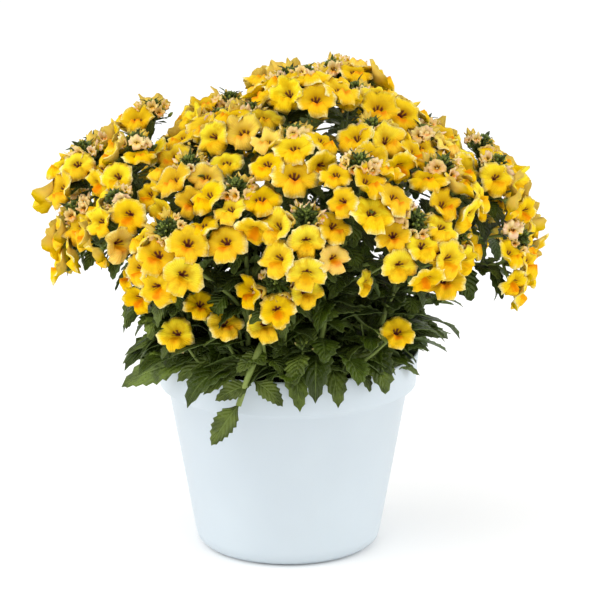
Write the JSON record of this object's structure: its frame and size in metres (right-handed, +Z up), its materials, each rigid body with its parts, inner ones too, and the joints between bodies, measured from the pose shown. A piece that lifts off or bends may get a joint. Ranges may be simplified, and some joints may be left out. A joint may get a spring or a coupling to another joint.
{
  "type": "potted nemesia",
  "caption": "Bushy bedding plant with a dome of small lipped yellow flowers over toothed green leaves, in a tapered round plastic nursery pot.",
  "frame": {"origin": "centre of the flat underside of the pot's floor", "axes": "+Z up along the pot's axis, -Y towards the side that the picture shows, +X to that view's right"},
  "size_m": [0.2417, 0.2156, 0.2426],
  "materials": {
    "pot": "satin, pale bluish white",
    "soil": "matt, crumbly peat-based potting soil",
    "foliage": "matt dark green leaf with a slight sheen",
    "petals": "soft matt yellow petal, orange palate, cream back"
  },
  "bodies": {
    "root": {"pot": "pot", "soil": "soil", "leafy_stem_01": "foliage", "leafy_stem_02": "foliage", "leafy_stem_03": "foliage", "leafy_stem_04": "foliage", "leafy_stem_05": "foliage", "leafy_stem_06": "foliage", "leafy_stem_07": "foliage", "leafy_stem_08": "foliage", "leafy_stem_09": "foliage", "leafy_stem_10": "foliage", "leafy_stem_11": "foliage", "leafy_stem_12": "foliage", "leafy_stem_13": "foliage", "leafy_stem_14": "foliage", "leafy_stem_15": "foliage", "flower_head_01": "petals", "flower_head_02": "petals", "flower_head_03": "petals", "flower_head_04": "petals", "flower_head_05": "petals", "flower_head_06": "petals", "flower_head_07": "petals", "flower_head_08": "petals", "flower_head_09": "petals", "flower_head_10": "petals", "flower_head_11": "petals", "flower_head_12": "petals", "flower_head_13": "petals", "flower_head_14": "petals", "flower_head_15": "petals", "flower_head_16": "petals", "flower_head_17": "petals", "flower_head_18": "petals", "flower_head_19": "petals", "flower_head_20": "petals", "flower_head_21": "petals", "flower_head_22": "petals", "flower_head_23": "petals", "flower_head_24": "petals", "flower_head_25": "petals", "flower_head_26": "petals", "flower_head_27": "petals", "flower_head_28": "petals", "flower_head_29": "petals", "flower_head_30": "petals", "flower_head_31": "petals", "flower_head_32": "petals", "flower_head_33": "petals", "flower_head_34": "petals", "flower_head_35": "petals", "flower_head_36": "petals", "flower_head_37": "petals", "flower_head_38": "petals", "flower_head_39": "petals", "flower_head_40": "petals", "flower_head_41": "petals", "flower_head_42": "petals", "flower_head_43": "petals"}
  },
  "joints": []
}
